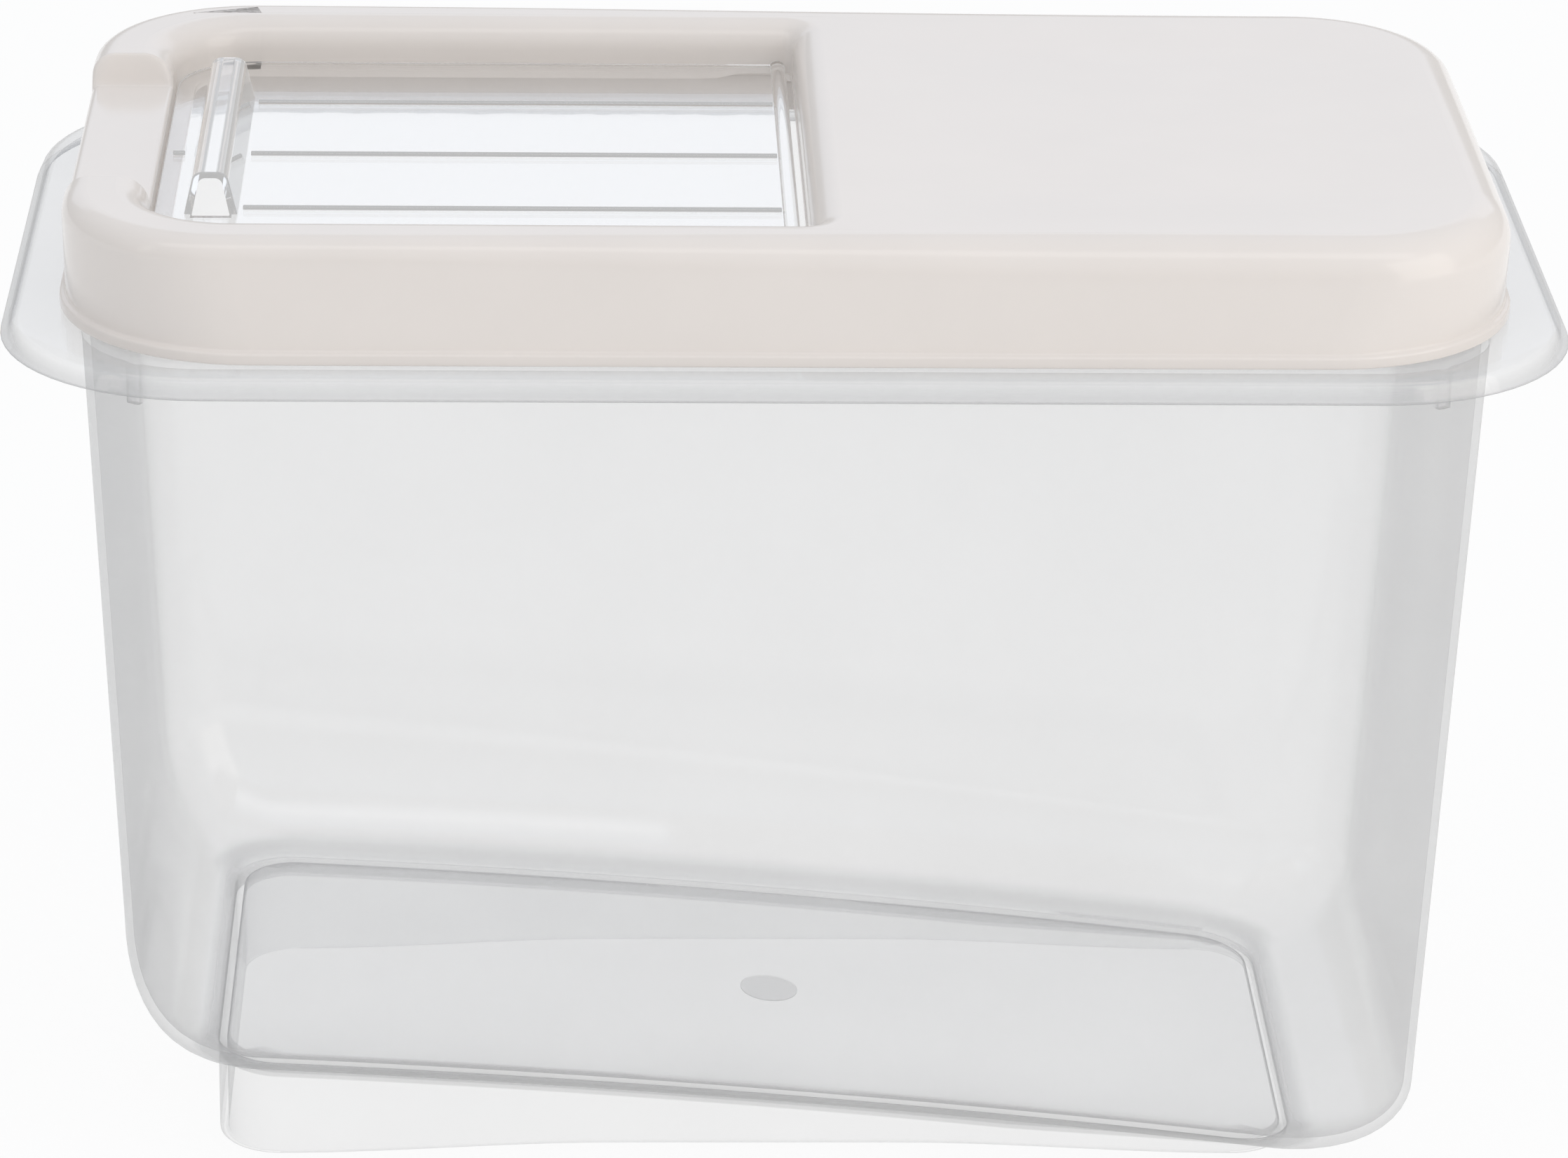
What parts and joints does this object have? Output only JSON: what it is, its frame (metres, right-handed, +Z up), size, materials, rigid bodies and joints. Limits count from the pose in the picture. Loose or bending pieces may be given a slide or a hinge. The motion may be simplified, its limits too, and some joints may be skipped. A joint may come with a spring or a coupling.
{
  "type": "rice bin with flip lid",
  "caption": "Rectangular see-through rice bin with a wide flange, a raised foot ring, a white lift-off lid and a clear hinged pouring flap with a raised grip.",
  "frame": {"origin": "on the table, under the middle of the bin's outer box", "axes": "+X along the bin, towards the closed half of the lid; +Y to the back, away from the viewer of the picture; +Z up"},
  "size_m": [0.3806, 0.213, 0.2582],
  "materials": {
    "clear_tub": "gloss",
    "white_lid": "gloss",
    "clear_flap": "gloss"
  },
  "bodies": {
    "tub": {"tub": "clear_tub"},
    "lid": {"lid_cover": "white_lid"},
    "flap": {"flip_flap": "clear_flap"}
  },
  "joints": [
    {"name": "lid_lift", "type": "slide", "parent": "tub", "child": "lid", "axis": [0, 0, 1], "range_m": [0, 0.06]},
    {"name": "flap_hinge", "type": "hinge", "parent": "lid", "child": "flap", "pos_m": [0.0009, 0, 0.2463], "axis": [0, 1, 0], "range_deg": [0, 105]}
  ]
}
